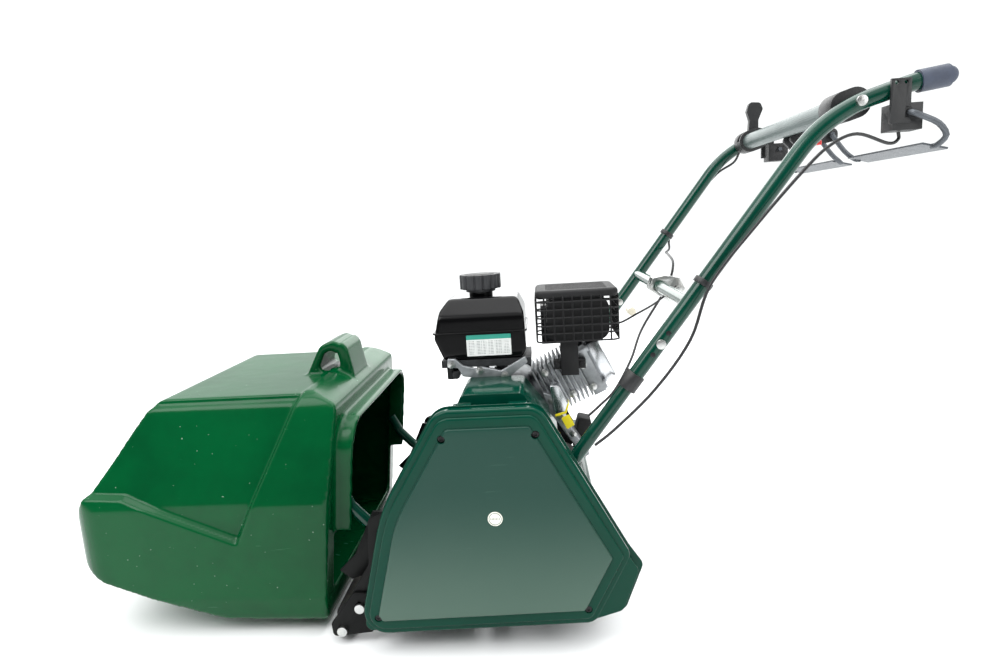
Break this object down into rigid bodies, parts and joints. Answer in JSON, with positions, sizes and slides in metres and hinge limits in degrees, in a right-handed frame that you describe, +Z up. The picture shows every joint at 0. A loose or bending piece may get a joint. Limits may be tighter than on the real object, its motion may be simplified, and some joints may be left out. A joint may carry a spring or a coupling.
{
  "type": "reel mower",
  "caption": "Petrol cylinder mower with a front grass box, a chain case on one side, split rear roller and push handles with throttle and bail levers.",
  "frame": {"origin": "on the ground under the middle of the whole machine", "axes": "+X back to the handles, -Y the chain case side, +Z up"},
  "size_m": [1.5511, 0.702, 0.973],
  "materials": {
    "green_frame": "gloss dark green enamel",
    "green_cover": "gloss blue green moulding",
    "green_box": "gloss mid green moulding",
    "black_steel": "satin black enamel",
    "black_engine_steel": "heat resistant black",
    "black_plastic": "moulded black",
    "grip_rubber": "soft grip",
    "cable_sheath": "black cable sheath",
    "roller_rubber": "ribbed black roller skin",
    "belt_rubber": "drive belt",
    "cast_alloy": "die cast",
    "bright_alloy": "bright",
    "zinc_steel": "zinc plated",
    "blade_steel": "ground steel",
    "bail_steel": "grey coated",
    "screw_black": "black",
    "cream_plastic": "cream moulding",
    "red_plastic": "red moulding"
  },
  "bodies": {
    "chassis": {"left_side_frame": "green_frame", "right_side_frame": "green_frame", "tie_tubes": "green_frame", "front_tube": "black_steel", "hanger_tubes": "green_frame", "hanger_hooks": "black_steel", "engine_bed": "green_frame", "clutch_cowl": "green_frame", "grass_deflector": "black_steel", "chain_case_back": "green_cover", "chain_cover": "green_cover", "cover_screws": "screw_black", "right_cover": "green_cover", "bearing_housings": "zinc_steel", "drive_chains": "zinc_steel", "drive_belt": "belt_rubber", "bracket_bolts": "zinc_steel", "crankcase": "cast_alloy", "cylinder_barrel": "cast_alloy", "cylinder_head": "cast_alloy", "valve_cover": "bright_alloy", "spark_plug": "screw_black", "recoil_housing": "black_engine_steel", "fuel_tank": "black_plastic", "tank_bracket": "cast_alloy", "muffler": "black_engine_steel", "muffler_guard": "black_engine_steel", "exhaust_duct": "black_engine_steel", "air_cleaner": "black_plastic", "lower_handle": "green_frame", "upper_handle": "green_frame", "tube_collars": "black_plastic", "handle_bolts": "zinc_steel", "grips": "grip_rubber", "console_bar": "bright_alloy", "console_caps": "black_plastic", "switch_boxes": "black_plastic", "cable_bracket": "zinc_steel", "control_cables": "cable_sheath"},
    "cutting_cylinder": {"cutter_shaft": "zinc_steel", "cutter_spiders": "green_frame", "cutter_blades": "blade_steel"},
    "bottom_blade_carrier": {"bottom_blade": "blade_steel", "sole_bar": "green_frame"},
    "jackshaft": {"jackshaft": "zinc_steel"},
    "rear_axle": {"rear_axle": "zinc_steel"},
    "left_roller_half": {"left_rear_roller": "roller_rubber"},
    "right_roller_half": {"right_rear_roller": "roller_rubber"},
    "front_carriage": {"front_axle": "zinc_steel", "front_roller_brackets": "black_steel"},
    "front_roller": {"front_roller": "roller_rubber"},
    "crankshaft": {"crankshaft": "zinc_steel"},
    "clutch_drum": {"clutch_drum": "zinc_steel"},
    "starter_handle": {"starter_grip": "cream_plastic"},
    "fuel_cap": {"fuel_cap": "black_plastic"},
    "throttle_lever": {"throttle_lever": "black_plastic"},
    "left_bail": {"left_bail": "bail_steel"},
    "right_bail": {"right_bail": "bail_steel"},
    "stop_button": {"stop_button": "red_plastic"},
    "grass_box": {"grass_box": "green_box"}
  },
  "joints": [
    {"name": "cylinder_spin", "type": "hinge", "parent": "chassis", "child": "cutting_cylinder", "pos_m": [-0.12, 0, 0.084], "axis": [0, 1, 0], "continuous": true},
    {"name": "jackshaft_spin", "type": "hinge", "parent": "chassis", "child": "jackshaft", "pos_m": [0.018, 0, 0.215], "axis": [0, 1, 0], "continuous": true},
    {"name": "rear_axle_spin", "type": "hinge", "parent": "chassis", "child": "rear_axle", "pos_m": [0.132, 0, 0.092], "axis": [0, 1, 0], "continuous": true},
    {"name": "clutch_drum_spin", "type": "hinge", "parent": "chassis", "child": "clutch_drum", "pos_m": [0.052, 0, 0.366], "axis": [0, 1, 0], "continuous": true},
    {"name": "left_roller_spin", "type": "hinge", "parent": "chassis", "child": "left_roller_half", "pos_m": [0.132, 0, 0.092], "axis": [0, 1, 0], "continuous": true},
    {"name": "right_roller_spin", "type": "hinge", "parent": "chassis", "child": "right_roller_half", "pos_m": [0.132, 0, 0.092], "axis": [0, 1, 0], "continuous": true},
    {"name": "front_roller_spin", "type": "hinge", "parent": "front_carriage", "child": "front_roller", "pos_m": [-0.264, 0, 0.026], "axis": [0, 1, 0], "continuous": true},
    {"name": "crankshaft_spin", "type": "hinge", "parent": "chassis", "child": "crankshaft", "pos_m": [0.052, 0, 0.366], "axis": [0, 1, 0], "continuous": true},
    {"name": "bottom_blade_adjust", "type": "hinge", "parent": "chassis", "child": "bottom_blade_carrier", "pos_m": [-0.05666, 0, 0.03336], "axis": [0, -1, 0], "range_deg": [0, 3]},
    {"name": "front_height_adjust", "type": "slide", "parent": "chassis", "child": "front_carriage", "axis": [0, 0, 1], "range_m": [-0.008, 0.008]},
    {"name": "fuel_cap_lift", "type": "slide", "parent": "chassis", "child": "fuel_cap", "axis": [0, 0, 1], "range_m": [0, 0.06]},
    {"name": "grass_box_lift_off", "type": "slide", "parent": "chassis", "child": "grass_box", "axis": [-0.9285, 0, 0.3714], "range_m": [0, 0.35]},
    {"name": "starter_pull", "type": "slide", "parent": "chassis", "child": "starter_handle", "axis": [0.7001, 0, 0.7141], "range_m": [0, 0.25]},
    {"name": "throttle_swing", "type": "hinge", "parent": "chassis", "child": "throttle_lever", "pos_m": [0.628, 0, 0.8935], "axis": [0, 1, 0], "range_deg": [-25, 25]},
    {"name": "left_bail_swing", "type": "hinge", "parent": "chassis", "child": "left_bail", "pos_m": [0.7, 0, 0.868], "axis": [0, -1, 0], "range_deg": [0, 32], "stiffness_Nm_per_rad": 1.2, "springref_deg": -20.05},
    {"name": "right_bail_swing", "type": "hinge", "parent": "chassis", "child": "right_bail", "pos_m": [0.7, 0, 0.868], "axis": [0, -1, 0], "range_deg": [0, 32], "stiffness_Nm_per_rad": 1.2, "springref_deg": -20.05},
    {"name": "stop_button_press", "type": "slide", "parent": "chassis", "child": "stop_button", "axis": [0, 0, 1], "range_m": [0, 0.004], "stiffness_N_per_m": 400, "springref_m": -0.001}
  ],
  "couplings": [
    {"joint": "jackshaft_spin", "follows": "cylinder_spin", "ratio": 0.6},
    {"joint": "rear_axle_spin", "follows": "cylinder_spin", "ratio": 0.3},
    {"joint": "clutch_drum_spin", "follows": "cylinder_spin", "ratio": 1.2}
  ]
}
